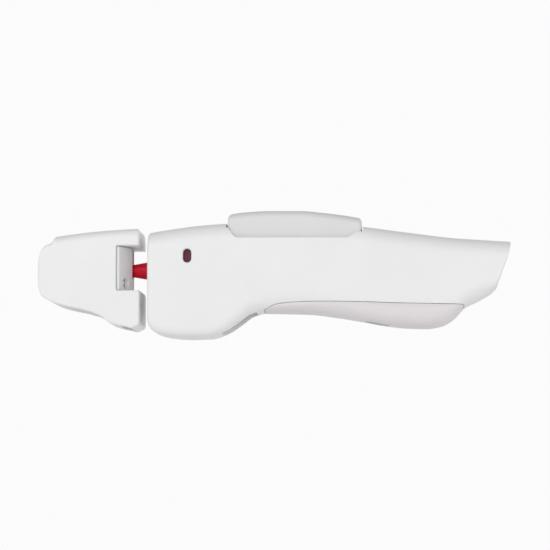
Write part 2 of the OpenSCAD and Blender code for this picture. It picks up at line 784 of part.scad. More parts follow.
module latch_bolt() {
    color(RED)
        difference() {
            union() {
                rod_x(bolt_tip_x, bolt_tip_x + 0.6, 0, bolt_z, tip_d - 1.2, tip_d);
                rod_x(bolt_tip_x + 0.6, cone_x + 0.1, 0, bolt_z, tip_d, tip_d);
                rod_x(cone_x, nose_x, 0, bolt_z, tip_d + 0.5, shank_d);
                rod_x(nose_x, shoulder_x, 0, bolt_z, shank_d, shank_d);
                rod_x(shoulder_x - 0.1, tail_end, 0, bolt_z, tail_d, tail_d);
            }
            rod_y(pin_x, -shank_d, shank_d, bolt_z, pin_d + 2 * slide_fit);
            // Groove of the tail clip
            difference() {
                rod_x(clip_x - 0.05, clip_x + clip_thick + 0.05, 0, bolt_z, tail_d + 2, tail_d + 2);
                rod_x(clip_x - 1, clip_x + clip_thick + 1, 0, bolt_z, tail_d - 1.2, tail_d - 1.2);
            }
        }
}

// The flat bar over the rail, with a fork down to the bolt and a ramp under the button
module draw_bar() {
    color(NYLON)
        difference() {
            union() {
                for (s = [-1, 1])
                    mirror([0, s < 0 ? 1 : 0, 0])
                        box([fork_start, fork_in, bolt_z - 4],
                            [fork_start + fork_length, fork_in + fork_thick, bar_top]);
                box([fork_start, -fork_in - 0.5, bar_low], [fork_start + fork_length, fork_in + 0.5, bar_top]);
                box([fork_start + fork_length - 0.5, -strip_half, bar_low],
                    [ramp_start + ramp_length + 2, strip_half, bar_top]);
                slab([[ramp_start, bar_top - 0.5], [ramp_start, bar_top],
                      [ramp_start + ramp_length, ramp_top], [ramp_start + ramp_length + 2, ramp_top],
                      [ramp_start + ramp_length + 2, bar_top - 0.5]], -wedge_half, wedge_half);
            }
            rod_y(pin_x, -fork_in - 3, fork_in + 3, bolt_z, pin_d + 2 * slide_fit);
        }
}

module cross_pin() {
    color(STEEL)
        difference() {
            rod_y(pin_x, -pin_half, pin_half, bolt_z, pin_d);
            for (s = [-1, 1])
                difference() {
                    rod_y(pin_x, clip_low(s) - 0.05, clip_low(s) + clip_thick + 0.05, bolt_z, pin_d + 2);
                    rod_y(pin_x, clip_low(s) - 1, clip_low(s) + 2, bolt_z, pin_d - 0.8);
                }
        }
}

// Near edge of the pin clip on side s
function clip_low(s) = s > 0 ? fork_in + fork_thick + 0.2 : -fork_in - fork_thick - 0.2 - clip_thick;

// Two open rings in the pin's grooves, outside the fork
module pin_clips() {
    color(STEEL)
        for (s = [-1, 1])
            translate([pin_x, clip_low(s) + clip_thick, bolt_z])
                rotate([90, 0, 0])
                    open_ring(pin_d - 0.7, pin_d + 3, clip_thick, pin_d * 0.5);
}

module tail_clip() {
    color(STEEL)
        translate([clip_x, 0, bolt_z])
            rotate([90, 0, 90])
                open_ring(tail_d - 1.1, tail_d + 3, clip_thick, tail_d * 0.5);
}

// A flat ring with a gap at its foot
module open_ring(inner, outer, thick, gap) {
    difference() {
        cylinder(h = thick, d = outer);
        translate([0, 0, -1])
            cylinder(h = thick + 2, d = inner);
        translate([-gap / 2, -outer, -1])
            cube([gap, outer, thick + 2]);
    }
}

// Red plates on the pin's ends, behind the windows while the bolt is out
module indicator_flags() {
    color(RED)
        for (s = [-1, 1])
            mirror([0, s < 0 ? 1 : 0, 0])
                difference() {
                    union() {
                        rod_y(pin_x, fork_in + fork_thick + 0.4 + clip_thick, flag_in + 0.1, bolt_z,
                              pin_d + 2.6);
                        box([pin_x - 2.8, flag_in, bolt_z - 2.8],
                            [window_x + window_width / 2 + 0.7, flag_in + flag_thick,
                             window_z + window_height / 2 + 0.5]);
                    }
                    rod_y(pin_x, 0, 20, bolt_z, pin_d + 2 * slide_fit);
                }
}

// ---------------------------------------------------------------- springs

// A coil spring along +Z from z = 0, with its wire's axis at radius r
module coil_spring(r, wire, length, turns) {
    steps = 14;
    sides = 6;
    n = turns * steps;
    lift = length - wire;
    points = [for (i = [0:n]) for (j = [0:sides - 1])
                let (a = 360 * i / steps,
                     b = 360 * j / sides,
                     q = r + wire / 2 * cos(b))
                [q * cos(a), q * sin(a), wire / 2 + lift * i / n + wire / 2 * sin(b)]];
    polyhedron(
        points = points,
        faces = concat(
            [[for (j = [0:sides - 1]) j]],
            [[for (j = [sides - 1:-1:0]) n * sides + j]],
            [for (i = [0:n - 1]) for (j = [0:sides - 1])
                let (k = (j + 1) % sides) [i * sides + j, (i + 1) * sides + k, i * sides + k]],
            [for (i = [0:n - 1]) for (j = [0:sides - 1])
                let (k = (j + 1) % sides) [i * sides + j, (i + 1) * sides + j, (i + 1) * sides + k]]));
}

module bolt_spring() {
    color(STEEL)
        translate([shoulder_x + 0.1, 0, bolt_z])
            rotate([0, 90, 0])
                coil_spring(tail_d / 2 + 0.3 + bolt_wire / 2, bolt_wire, plate_x - shoulder_x - 0.2, 6);
}

module button_springs() {
    color(STEEL)
        for (x = spring_x)
            translate([x, 0, spring_low])
                coil_spring(spring_r, button_wire, spring_high - spring_low, 6);
}

// ---------------------------------------------------------------- drawing

keeper_cap();
strike_block();
strike_screws();
front_shell();
back_shell();
grip_insert();
shell_screws();
bolt_bush();
spring_plate();
thumb_button();
wedge_foot();
wedge_screws();
latch_bolt();
draw_bar();
cross_pin();
pin_clips();
indicator_flags();
tail_clip();
bolt_spring();
button_springs();
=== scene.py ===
"""Looks of the stair gate latch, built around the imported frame.

The shells, grip, button, keeper cap, bolt, screws and springs are meshes made here. The other
CAD nodes keep their shapes and get materials and soft edges.

Shapes are worked out in millimetres and scaled to metres when a piece is finished.
X runs from the keeper to the handle's tip, -Y is the front, and Z is up.
"""
import json
import math
from bisect import bisect_right

import bmesh
import bpy
from mathutils import Matrix, Vector


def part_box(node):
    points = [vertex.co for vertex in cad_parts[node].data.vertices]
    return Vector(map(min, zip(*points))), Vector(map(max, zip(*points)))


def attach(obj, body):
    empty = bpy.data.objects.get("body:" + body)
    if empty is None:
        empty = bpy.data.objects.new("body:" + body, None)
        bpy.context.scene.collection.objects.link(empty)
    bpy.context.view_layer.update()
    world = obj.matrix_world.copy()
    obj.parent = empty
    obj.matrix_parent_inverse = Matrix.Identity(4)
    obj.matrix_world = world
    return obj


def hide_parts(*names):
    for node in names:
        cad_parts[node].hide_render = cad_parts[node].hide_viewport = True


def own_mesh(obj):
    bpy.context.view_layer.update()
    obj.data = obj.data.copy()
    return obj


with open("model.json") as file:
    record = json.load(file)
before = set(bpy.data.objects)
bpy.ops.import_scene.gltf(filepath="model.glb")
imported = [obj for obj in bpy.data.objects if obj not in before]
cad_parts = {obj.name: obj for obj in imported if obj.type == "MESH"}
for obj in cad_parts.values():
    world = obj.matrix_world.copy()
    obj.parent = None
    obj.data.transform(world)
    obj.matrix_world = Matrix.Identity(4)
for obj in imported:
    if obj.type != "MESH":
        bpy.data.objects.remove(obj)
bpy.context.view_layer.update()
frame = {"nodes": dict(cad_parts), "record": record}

MM = 0.001
ARC_STEPS = 10
CORNER_STEPS = 6
ROUND_STEPS = 64
WELD = 0.01


# ---------------------------------------------------------------- sizes, from the frame

def node_box(name):
    """Lowest and highest corner of a CAD node, in millimetres."""
    low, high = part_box(name)
    return low / MM, high / MM


def opening(name):
    """Lowest and highest corner of a stated opening, in millimetres."""
    found = next(o for o in frame["record"]["physics"]["openings"] if o["name"] == name)
    return Vector(found["box_m"][0]) / MM, Vector(found["box_m"][1]) / MM


SHELL_LOW, SHELL_HIGH = node_box("front_shell")
KEEPER_LOW, KEEPER_HIGH = node_box("keeper_cap")
BUTTON_LOW, BUTTON_HIGH = node_box("thumb_button")
BOLT_LOW, BOLT_HIGH = node_box("latch_bolt")
PLATE_LOW, PLATE_HIGH = node_box("spring_plate")
BUSH_LOW, BUSH_HIGH = node_box("bolt_bush")
BAR_LOW, BAR_HIGH = opening("bar_slot")
FLAG_OUT = node_box("indicator_flags")[1].y

# The handle's ends, heights, half depths, walls and edge radii. ARM is where its arm starts.
NOSE = SHELL_LOW.x
TIP = SHELL_HIGH.x
CROWN = SHELL_HIGH.z
NOSE_DROP = -SHELL_LOW.z
GRIP_DROP = -node_box("grip_insert")[0].z
HALF_NOSE = -SHELL_LOW.y
HALF_TIP = 17.2
RIB_OUT = HALF_TIP - 0.9
THROAT = 31.8  # how far the underside lies below the rail's top where the arm starts
RAIL = 20.0  # height of the gate's rail
FIT = 0.3  # clearance round the gate's tubes
WALL = 2.2
END_WALL = 2.6
WEB = 1.0
RIB = 1.6
HALF_SEAM = 0.03
GROOVE = 0.22
EDGE_RADIUS = 9.0
NOSE_RADIUS = 5.0
FACE_RADIUS = 1.8
ARM = NOSE + 57.9
FAR = 40  # clears the handle on every side

# How far, and over what height, the outline turns in where shell and grip part. The grip's walls.
TUCK_DEPTH = 1.1
TUCK_ABOVE = 4.5
TUCK_BELOW = 2.6
PART_GAP = 0.2
GRIP_FLOOR = 2.6
GRIP_WALL = 3.4

# The sockets for the gate's rail, upright and round bar.
TUNNEL_HALF = 7.8
TUNNEL_OUT = TUNNEL_HALF + 1.4
RAIL_START = opening("rail_tunnel")[0].x
UPRIGHT_END = RAIL_START + 15.0
POCKET_HALF = 10.3
POCKET_LEAD = 2.6
LEAD_TOP = -NOSE_DROP + 6
BAR_X = (BAR_LOW.x + BAR_HIGH.x) / 2
BAR_BORE = 12.6
ROOF_TOP = FIT + WEB

# The bolt, what guides it, and the window over its flags.
BOLT_Z = (BOLT_LOW.z + BOLT_HIGH.z) / 2
SHANK = BOLT_HIGH.z - BOLT_LOW.z
TIP_D = 5.5
TAIL_D = 5.0
TAIL_BORE = TAIL_D + 1.6
PIN_X = sum(c.x for c in node_box("cross_pin")) / 2
BOLT_TRAVEL = 6.0
BUSH_BORE = 14.1
CRADLE_GAP = 0.2
WINDOW_X = NOSE + 20.1
WINDOW_Z = BOLT_Z + 6.1
WINDOW = (4.2, 7.0)  # width and height

# The thumb button and its springs.
BUTTON_START = NOSE + 40.1
BUTTON_LENGTH = 66.9
BUTTON_END = BUTTON_START + BUTTON_LENGTH
BUTTON_TOP_Z = BUTTON_HIGH.z
BUTTON_HALF = BUTTON_HIGH.y
BUTTON_GAP = 0.8
BUTTON_WALL = 2.2
BUTTON_TRAVEL = 4.0
HOOK = 1.6  # reach of a hook to each side of the button's end
SPRING_X = (BUTTON_START + 33.5, BUTTON_END - 7.5)
CUP_D = 9.2
CUP_BORE = 7.0

# The keeper cap: its post socket, mouth and roof.
MOUTH_X = KEEPER_HIGH.x - 1.5
MOUTH_FLOOR = MOUTH_X - 10.2
MOUTH_TOP, MOUTH_LOW = 1.0, -21.5
POST_FACE = MOUTH_X - 15
POST_HALF = 10.1
ROOF_LOW = 5.7

# Screws, their holes and bosses, and the holes that fix the latch to the gate.
SCREW_SEAT = 14.0
SCREW_LENGTH = 26
SCREW_D = 2.9
HEAD_D = 5.0
HEAD_H = 1.6
CLEAR_HOLE = SCREW_D + 0.3
THREAD_HOLE = SCREW_D + 0.1
BOSS_D = 6.0
HEAD_BOSS_D = 7.8
FIXING_D = 4.2
FIXING_BOSS_D = 8.2
FIXING_PITCH = 44.0


def mix(a, b, f):
    return a + (b - a) * f


def along(f):
    """Station at a share of the way from the arm's start to the tip."""
    return mix(ARM, TIP, f)


TUNNEL_END = along(0.85)
SCREWS = [(NOSE + 10.6, -NOSE_DROP + 13.7), (NOSE + 30.6, -NOSE_DROP + 11.2),
          (along(0.11), -RAIL - 4.2), (along(0.71), -RAIL - 4.2)]
POST_HOLES = [(x, -14) for x in (-4, 12)]
RAIL_HOLES = [(BAR_X - 1 + i * FIXING_PITCH, -RAIL / 2) for i in (-0.5, 0.5)]


def smooth_line(points):
    """A monotone cubic through points (x, z), as a function of x."""
    xs, zs = zip(*points)
    steps = [b - a for a, b in zip(xs, xs[1:])]
    slopes = [(b - a) / h for a, b, h in zip(zs, zs[1:], steps)]
    tangents = [slopes[0]]
    for (a, ha), (b, hb) in zip(zip(slopes, steps), zip(slopes[1:], steps[1:])):
        flat = a * b <= 0
        tangents.append(0.0 if flat else 3 * (ha + hb) / ((2 * hb + ha) / a + (hb + 2 * ha) / b))
    tangents.append(slopes[-1])

    def at(x):
        i = min(max(bisect_right(xs, x) - 1, 0), len(steps) - 1)
        t = min(max((x - xs[i]) / steps[i], 0.0), 1.0)
        start = (1 + 2 * t) * (1 - t) ** 2 * zs[i] + t * (1 - t) ** 2 * steps[i] * tangents[i]
        return start + t * t * (3 - 2 * t) * zs[i + 1] + t * t * (t - 1) * steps[i] * tangents[i + 1]
    return at


TOP_LINE = [(NOSE, 0.59 * CROWN), (NOSE + 12, 0.735 * CROWN), (NOSE + 23, 0.85 * CROWN),
            (NOSE + 38, 0.94 * CROWN), (NOSE + 55, 0.985 * CROWN), (along(0.12), CROWN),
            (along(0.265), 0.935 * CROWN), (along(0.41), 0.8 * CROWN), (along(0.5), 0.68 * CROWN),
            (along(0.61), 0.54 * CROWN), (along(0.77), 0.35 * CROWN), (along(0.88), 0.275 * CROWN),
            (TIP, 0.2 * CROWN)]
UNDER_LINE = [(NOSE, -NOSE_DROP + 6.1), (NOSE + 2.6, -NOSE_DROP + 3.1), (NOSE + 9, -NOSE_DROP + 1),
              (NOSE + 20, -NOSE_DROP), (NOSE + 30.5, -NOSE_DROP + 0.3), (NOSE + 39.2, -NOSE_DROP + 3),
              (NOSE + 46, -mix(THROAT, NOSE_DROP, 0.43)), (NOSE + 52.2, -mix(THROAT, NOSE_DROP, 0.1)),
              (ARM, -THROAT), (along(0.11), -THROAT - 0.3),
              (along(0.19), -mix(THROAT, GRIP_DROP, 0.08)),
              (along(0.28), -mix(THROAT, GRIP_DROP, 0.25)), (along(0.4), -mix(THROAT, GRIP_DROP, 0.55)),
              (along(0.5), -mix(THROAT, GRIP_DROP, 0.83)), (along(0.58), -mix(THROAT, GRIP_DROP, 0.96)),
              (along(0.66), -GRIP_DROP), (along(0.725), -mix(THROAT, GRIP_DROP, 0.84)),
              (along(0.772), -mix(THROAT, GRIP_DROP, 0.42)), (along(0.818), -RAIL - 9.4),
              (along(0.877), -RAIL - 5.8), (along(0.942), -RAIL), (along(0.97), -RAIL * 0.57),
              (along(0.994), -RAIL * 0.14), (TIP, RAIL * 0.03)]
PART_LINE = [(along(0.002), -THROAT + 0.5), (along(0.05), -THROAT + 3.2), (along(0.11), -THROAT + 4.2),
             (along(0.22), -THROAT + 4.6), (along(0.4), -THROAT + 4.3), (along(0.5), -THROAT + 3.8),
             (along(0.62), -THROAT + 3.4), (along(0.812), -THROAT + 2.9)]
BUTTON_LINE = [(BUTTON_START + f * BUTTON_LENGTH, BUTTON_TOP_Z - drop) for f, drop in
               [(0, 1.9), (0.06, 1.1), (0.17, 0.4), (0.3, 0), (0.56, 0.1), (0.7, 1), (0.8, 1.8),
                (0.93, 3.1), (1, 4.1)]]
PART_START, PART_END = PART_LINE[0][0], PART_LINE[-1][0]
top_z = smooth_line(TOP_LINE)
under_z = smooth_line(UNDER_LINE)
part_z = smooth_line(PART_LINE)
button_z = smooth_line(BUTTON_LINE)


def half_depth(x):
    return mix(HALF_NOSE, HALF_TIP, (x - NOSE) / (TIP - NOSE))


def low_radius(x):
    return mix(NOSE_RADIUS, EDGE_RADIUS, min(1.0, max(0.0, (x - NOSE - 36) / 22)))


def smoothstep(t):
    t = min(1.0, max(0.0, t))
    return t * t * (3 - 2 * t)


def arc_angles(start, end):
    """Angles in radians from start to end, which are in degrees."""
    return [math.radians(mix(start, end, i / ARC_STEPS)) for i in range(ARC_STEPS + 1)]


def round_start(x, r):
    """Stations (x, inset) over a rounded end that starts at x."""
    return [(x + r * (1 - math.cos(a)), r * (1 - math.sin(a))) for a in arc_angles(0, 90)]


def round_finish(x, r):
    """Stations (x, inset) over a rounded end that finishes at x."""
    return [(x - r * (1 - math.cos(a)), r * (1 - math.sin(a))) for a in arc_angles(90, 0)]


# ---------------------------------------------------------------- solids, in millimetres

def solid(name, vertices, faces):
    """A closed mesh object with its normals outwards."""
    mesh = bpy.data.meshes.new(name)
    mesh.from_pydata([tuple(v) for v in vertices], [], faces)
    shape = bmesh.new()
    shape.from_mesh(mesh)
    bmesh.ops.recalc_face_normals(shape, faces=shape.faces)
    shape.to_mesh(mesh)
    shape.free()
    piece = bpy.data.objects.new(name, mesh)
    bpy.context.scene.collection.objects.link(piece)
    return piece


def box(a, b):
    """A box from its lowest corner a to its highest corner b."""
    corners = [(x, y, z) for x in (a[0], b[0]) for y in (a[1], b[1]) for z in (a[2], b[2])]
    faces = [(0, 1, 3, 2), (4, 6, 7, 5), (0, 4, 5, 1), (2, 3, 7, 6), (0, 2, 6, 4), (1, 5, 7, 3)]
    return solid("box", corners, faces)


def skin(name, rings):
    """A closed skin over rings with equal numbers of points, flat at both ends."""
    n = len(rings[0])
    faces = [tuple(range(n)), tuple(range((len(rings) - 1) * n, len(rings) * n))]
    for i in range(len(rings) - 1):
        for j in range(n):
            k = (j + 1) % n
            faces.append((i * n + j, (i + 1) * n + j, (i + 1) * n + k, i * n + k))
    return solid(name, [p for ring in rings for p in ring], faces)


def turned(name, axis, centre, profile, steps=ROUND_STEPS):
    """A lathe shape about an axis through centre; profile lists (place along the axis, radius)."""
    rings = []
    for place, radius in profile:
        ring = []
        for i in range(steps):
            a = 2 * math.pi * i / steps
            point = [centre[0] + radius * math.cos(a), centre[1] + radius * math.sin(a)]
            point.insert("xyz".index(axis), place)
            ring.append(point)
        rings.append(ring)
    return skin(name, rings)


def rod(axis, start, end, centre, diameter):
    return turned("rod", axis, centre, [(start, diameter / 2), (end, diameter / 2)])


def slab(outline, y0, y1):
    """An outline of (x, z) points, extruded from y0 to y1."""
    return skin("slab", [[(x, y, z) for x, z in outline] for y in (y0, y1)])


def settle(piece):
    """Bakes a piece's modifiers into its mesh."""
    bpy.context.view_layer.update()
    graph = bpy.context.evaluated_depsgraph_get()
    mesh = bpy.data.meshes.new_from_object(piece.evaluated_get(graph))
    old = piece.data
    piece.modifiers.clear()
    piece.data = mesh
    bpy.data.meshes.remove(old)


def combine(piece, tools, operation):
    """Adds tools to a piece, or cuts them from it."""
    for tool in tools:
        modifier = piece.modifiers.new("combine", "BOOLEAN")
        modifier.solver = "MANIFOLD"
        modifier.operation = operation
        modifier.object = tool
    settle(piece)
    for tool in tools:
        bpy.data.objects.remove(tool)
    return piece


def add(piece, tools):
    return combine(piece, tools, "UNION")


def cut(piece, tools):
    return combine(piece, tools, "DIFFERENCE")


def rounded(outline, r):
    """An outline whose corners are arcs of radius r."""
    points = []
    for i, corner in enumerate(outline):
        p = Vector(corner)
        u = (Vector(outline[i - 1]) - p).normalized()
        v = (Vector(outline[(i + 1) % len(outline)]) - p).normalized()
        half = u.angle(v) / 2
        centre = p + (u + v).normalized() * r / math.sin(half)
        a = (p + u * (r / math.tan(half)) - centre).normalized()
        b = (p + v * (r / math.tan(half)) - centre).normalized()
        points += [centre + a.slerp(b, k / CORNER_STEPS) * r for k in range(CORNER_STEPS + 1)]
    return [(p.x, p.y) for p in points]


def soften(piece, weld, width, sharp, clamp=True):
    """Welds doubled points, then rounds edges sharper than an angle; a width of 0 only welds."""
    piece.modifiers.new("merge", "WELD").merge_threshold = weld
    if width:
        edge = piece.modifiers.new("edge", "BEVEL")
        edge.width = width
        edge.segments = 2
        edge.limit_method = "ANGLE"
        edge.angle_limit = math.radians(sharp)
        edge.use_clamp_overlap = clamp


def finish_piece(piece, body, nodes, finish, bevel=0.25, sharp=38):
    """Rounds the edges, scales a piece to metres, ties it to its body and finish, and hides its CAD
    nodes.
    """
    soften(piece, WELD, bevel, sharp, clamp=False)
    settle(piece)
    piece.data.transform(Matrix.Scale(MM, 4))
    piece.data.shade_smooth()
    piece.data.set_sharp_from_angle(angle=math.radians(sharp))
    piece.data.materials.clear()
    piece.data.materials.append(finish)
    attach(piece, body)
    if nodes:
        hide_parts(*nodes)
    return piece


# ---------------------------------------------------------------- materials

def material(name, colour, roughness, grain_mm, depth_mm, tint=0.03, metal=0.0, gloss_level=0.5,
             sheen=0.0):
    """A moulded or plated surface: soft colour drift, uneven gloss and a fine grain."""
    made = bpy.data.materials.new(name)
    made.use_nodes = True
    nodes, links = made.node_tree.nodes, made.node_tree.links
    shader = nodes["Principled BSDF"]
    shader.inputs["Metallic"].default_value = metal
    shader.inputs["Specular IOR Level"].default_value = gloss_level
    shader.inputs["Sheen Weight"].default_value = sheen
    place = nodes.new("ShaderNodeTexCoord")

    def noise(size_mm, detail, distortion=0.0):
        node = nodes.new("ShaderNodeTexNoise")
        node.inputs["Scale"].default_value = 1 / (size_mm * MM)
        node.inputs["Detail"].default_value = detail
        node.inputs["Distortion"].default_value = distortion
        links.new(place.outputs["Object"], node.inputs["Vector"])
        return node

    drift = noise(34, 3, 0.4)
    ramp = nodes.new("ShaderNodeValToRGB")
    ramp.color_ramp.elements[0].position = 0.3
    ramp.color_ramp.elements[1].position = 0.7
    ramp.color_ramp.elements[0].color = (*[c * (1 - tint) for c in colour], 1)
    ramp.color_ramp.elements[1].color = (*[min(1, c * (1 + tint * 0.4)) for c in colour], 1)
    links.new(drift.outputs["Fac"], ramp.inputs["Fac"])
    links.new(ramp.outputs["Color"], shader.inputs["Base Color"])

    gloss = noise(9, 4)
    spread = nodes.new("ShaderNodeMapRange")
    spread.inputs["From Min"].default_value = 0.3
    spread.inputs["From Max"].default_value = 0.7
    spread.inputs["To Min"].default_value = roughness - 0.05
    spread.inputs["To Max"].default_value = roughness + 0.06
    links.new(gloss.outputs["Fac"], spread.inputs["Value"])
    links.new(spread.outputs["Result"], shader.inputs["Roughness"])

    grain = noise(grain_mm, 3)
    bump = nodes.new("ShaderNodeBump")
    bump.inputs["Strength"].default_value = 1.0
    bump.inputs["Distance"].default_value = depth_mm * MM
    links.new(grain.outputs["Fac"], bump.inputs["Height"])
    links.new(bump.outputs["Normal"], shader.inputs["Normal"])
    return made


WHITE = material("white_abs", (0.86, 0.86, 0.865), 0.42, 0.5, 0.02, tint=0.02)
BUTTON_GREY = material("button_abs", (0.74, 0.74, 0.745), 0.38, 0.4, 0.02, tint=0.03)
STRIKE_GREY = material("strike_abs", (0.80, 0.80, 0.805), 0.45, 0.4, 0.02, tint=0.03)
GRIP_GREY = material("soft_grip", (0.77, 0.735, 0.75), 0.72, 0.7, 0.05, tint=0.04, sheen=0.15)
RED = material("red_acetal", (0.62, 0.004, 0.022), 0.42, 0.9, 0.015, tint=0.08, gloss_level=0.2)
# The flags are the bolt's red acetal, darkened here as painted shade for the dim window they sit
# behind.
SHADED_FLAG_RED = material("flag_acetal_painted_shade", (0.11, 0.006, 0.018), 0.4, 0.9, 0.015, tint=0.1)
NYLON = material("dark_nylon", (0.045, 0.045, 0.048), 0.5, 0.5, 0.03, tint=0.2)
ZINC = material("zinc_plate", (0.62, 0.63, 0.66), 0.32, 0.25, 0.01, tint=0.08, metal=1.0)
SPRING_STEEL = material("spring_wire", (0.48, 0.48, 0.5), 0.26, 0.2, 0.006, tint=0.1, metal=1.0)


# ---------------------------------------------------------------- handle shell

def tuck(x, z):
    """How far the outline turns in beside the line where shell and grip part."""
    if not PART_START < x < PART_END:
        return 0.0
    fade = smoothstep((x - PART_START) / 9) * smoothstep((PART_END - x) / 6)
    gap = z - part_z(x)
    reach = TUCK_ABOVE if gap > 0 else TUCK_BELOW
    return TUCK_DEPTH * fade * (1 - min(1.0, abs(gap) / reach)) ** 2


def handle_half(x, inset=0.0, y0=HALF_SEAM, shaped=True):
    """Half of the handle's outline across x, from the underside's middle round to the top's middle."""
    w = half_depth(x) - inset
    high = top_z(x) - inset
    low = under_z(x) + inset
    r = EDGE_RADIUS - inset
    room = (high - low) * mix(0.45, 0.12, smoothstep((x - along(0.88)) / 10))
    q = max(0.3, min(low_radius(x) - inset, room))
    start = math.asin(min(1.0, max(0.0, 1 - (high - low - q) / r)))
    side = w - r + r * math.cos(start)
    wall = max(0.0, high - r - low - q)
    length = wall + r * (math.pi / 2 - start)

    def rise(s):
        """A point at a distance s up the side and round the upper edge."""
        if s < wall:
            return side, low + q + s
        a = start + (s - wall) / r
        return w - r + r * math.cos(a), high - r + r * math.sin(a)

    groove = GROOVE if shaped else 0.0
    points = [(y0, low + groove), (y0 + 0.3, low), (mix(y0, side - q, 0.5), low)]
    points += [(side - q + q * math.cos(a), low + q + q * math.sin(a)) for a in arc_angles(-90, 0)]
    bend = max(wall, 0.35 * length)
    points += [rise(bend * k / 12) for k in range(1, 12)]
    points += [rise(mix(bend, length, k / ARC_STEPS)) for k in range(ARC_STEPS)]
    points += [(w - r, high), (mix(w - r, y0, 0.5), high), (y0 + 0.3, high), (y0, high - groove)]
    if shaped:
        points = [(y - tuck(x, z) if y > w * 0.6 else y, z) for y, z in points]
    return [(x, y, z) for y, z in points]


def stations(start, end, step=2.4):
    """Stations from start to end, closer together where the underside is steep."""
    marks = sorted({start, end} | {x for x, _ in UNDER_LINE + TOP_LINE if start < x < end})
    found = [marks[0]]
    for a, b in zip(marks, marks[1:]):
        rise = abs(under_z(b) - under_z(a))
        parts = max(1, math.ceil((b - a) / step), math.ceil(rise / 1.2))
        found += [mix(a, b, (k + 1) / parts) for k in range(parts)]
    return found


def shell_half(name):
    """The +Y half of the shell, with its ribs, before each side's own holes."""
    rings = [handle_half(x, inset) for x, inset in round_start(NOSE, FACE_RADIUS)]
    rings += [handle_half(x) for x in stations(NOSE + FACE_RADIUS, TIP)[1:]]
    shell = skin(name, rings)
    hollow = stations(NOSE + END_WALL, along(0.93), 5)
    cut(shell, [skin("cavity", [handle_half(x, WALL, -1, False) for x in hollow])])
    add(shell, bolt_guides() + tunnel_walls() + bosses())
    return cut(shell, shell_cuts())


def bolt_guides():
    """The nose's ribs that hold the bolt bush and the spring plate, and the rib that stops the rail."""
    wall = HALF_NOSE - 1.3
    low, high = -20, -1
    bush_end = BUSH_HIGH.x - CRADLE_GAP
    rail_end = RAIL_START - FIT
    plates = box((NOSE + END_WALL - 0.3, HALF_SEAM, low), (BUSH_LOW.x + RIB, wall, high))
    cradle = [box((bush_end - RIB, HALF_SEAM, low), (bush_end, wall, high)),
              box((rail_end - RIB, HALF_SEAM, LEAD_TOP), (rail_end, POCKET_HALF + 3, FIT))]
    for x in (PLATE_LOW.x - CRADLE_GAP - RIB, PLATE_HIGH.x + CRADLE_GAP):
        cradle.append(box((x, 7.5, -NOSE_DROP + 4), (x + RIB, wall, high)))
    add(plates, cradle)
    return [cut(plates, [rod("x", NOSE, BUSH_HIGH.x + 1, (0, BOLT_Z), BUSH_BORE),
                         rod("x", NOSE, RAIL_START + 1, (0, BOLT_Z), TAIL_BORE),
                         box((NOSE, FLAG_OUT - 1.5, BOLT_Z - 4),
                             (RAIL_START - 3, HALF_NOSE + 1, BOLT_Z + 12))])]


def tunnel_walls():
    """The walls round the upright and the rail, with the ribs that stiffen them."""
    start = RAIL_START - FIT - RIB
    pocket_end = UPRIGHT_END + FIT
    floor_z = -RAIL - FIT
    walls = [box((pocket_end, HALF_SEAM, -THROAT + 1.2), (pocket_end + RIB, POCKET_HALF + 2, -RAIL)),
             box((start, TUNNEL_HALF - 0.2, floor_z - WEB), (TUNNEL_END, TUNNEL_OUT, ROOF_TOP)),
             box((start, HALF_SEAM, FIT - 0.2), (TUNNEL_END, TUNNEL_OUT, ROOF_TOP)),
             box((pocket_end, HALF_SEAM, floor_z - WEB), (TUNNEL_END, TUNNEL_OUT, floor_z + 0.2))]
    for x in (RAIL_START + 20, RAIL_START + 46, BAR_X + 13, along(0.83)):
        walls.append(box((x, TUNNEL_OUT - 0.3, -RAIL + 1), (x + RIB, RIB_OUT, -5)))
    return walls


def bosses():
    """Cups for the button's springs, and bosses for the shell's screws and the rail's fixings."""
    found = []
    for x in SPRING_X:
        cup = rod("z", ROOF_TOP - 0.2, ROOF_TOP + 1.2, (x, 0), CUP_D)
        found.append(cut(cup, [rod("z", ROOF_TOP - 1, ROOF_TOP + 2, (x, 0), CUP_BORE),
                               box((x - 8, -8, ROOF_TOP - 2), (x + 8, HALF_SEAM, ROOF_TOP + 3))]))
    for i, (x, z) in enumerate(SCREWS):
        start, skin_depth = (HALF_SEAM, 1) if i < 2 else (2.3, 2.4)
        reach = half_depth(x) - skin_depth
        found.append(rod("y", start, reach, (x, z), BOSS_D))
        found.append(rod("y", SCREW_SEAT - 1.8, reach, (x, z), HEAD_BOSS_D))
    for x, z in RAIL_HOLES:
        found.append(rod("y", TUNNEL_HALF, RIB_OUT, (x, z), FIXING_BOSS_D))
    return found


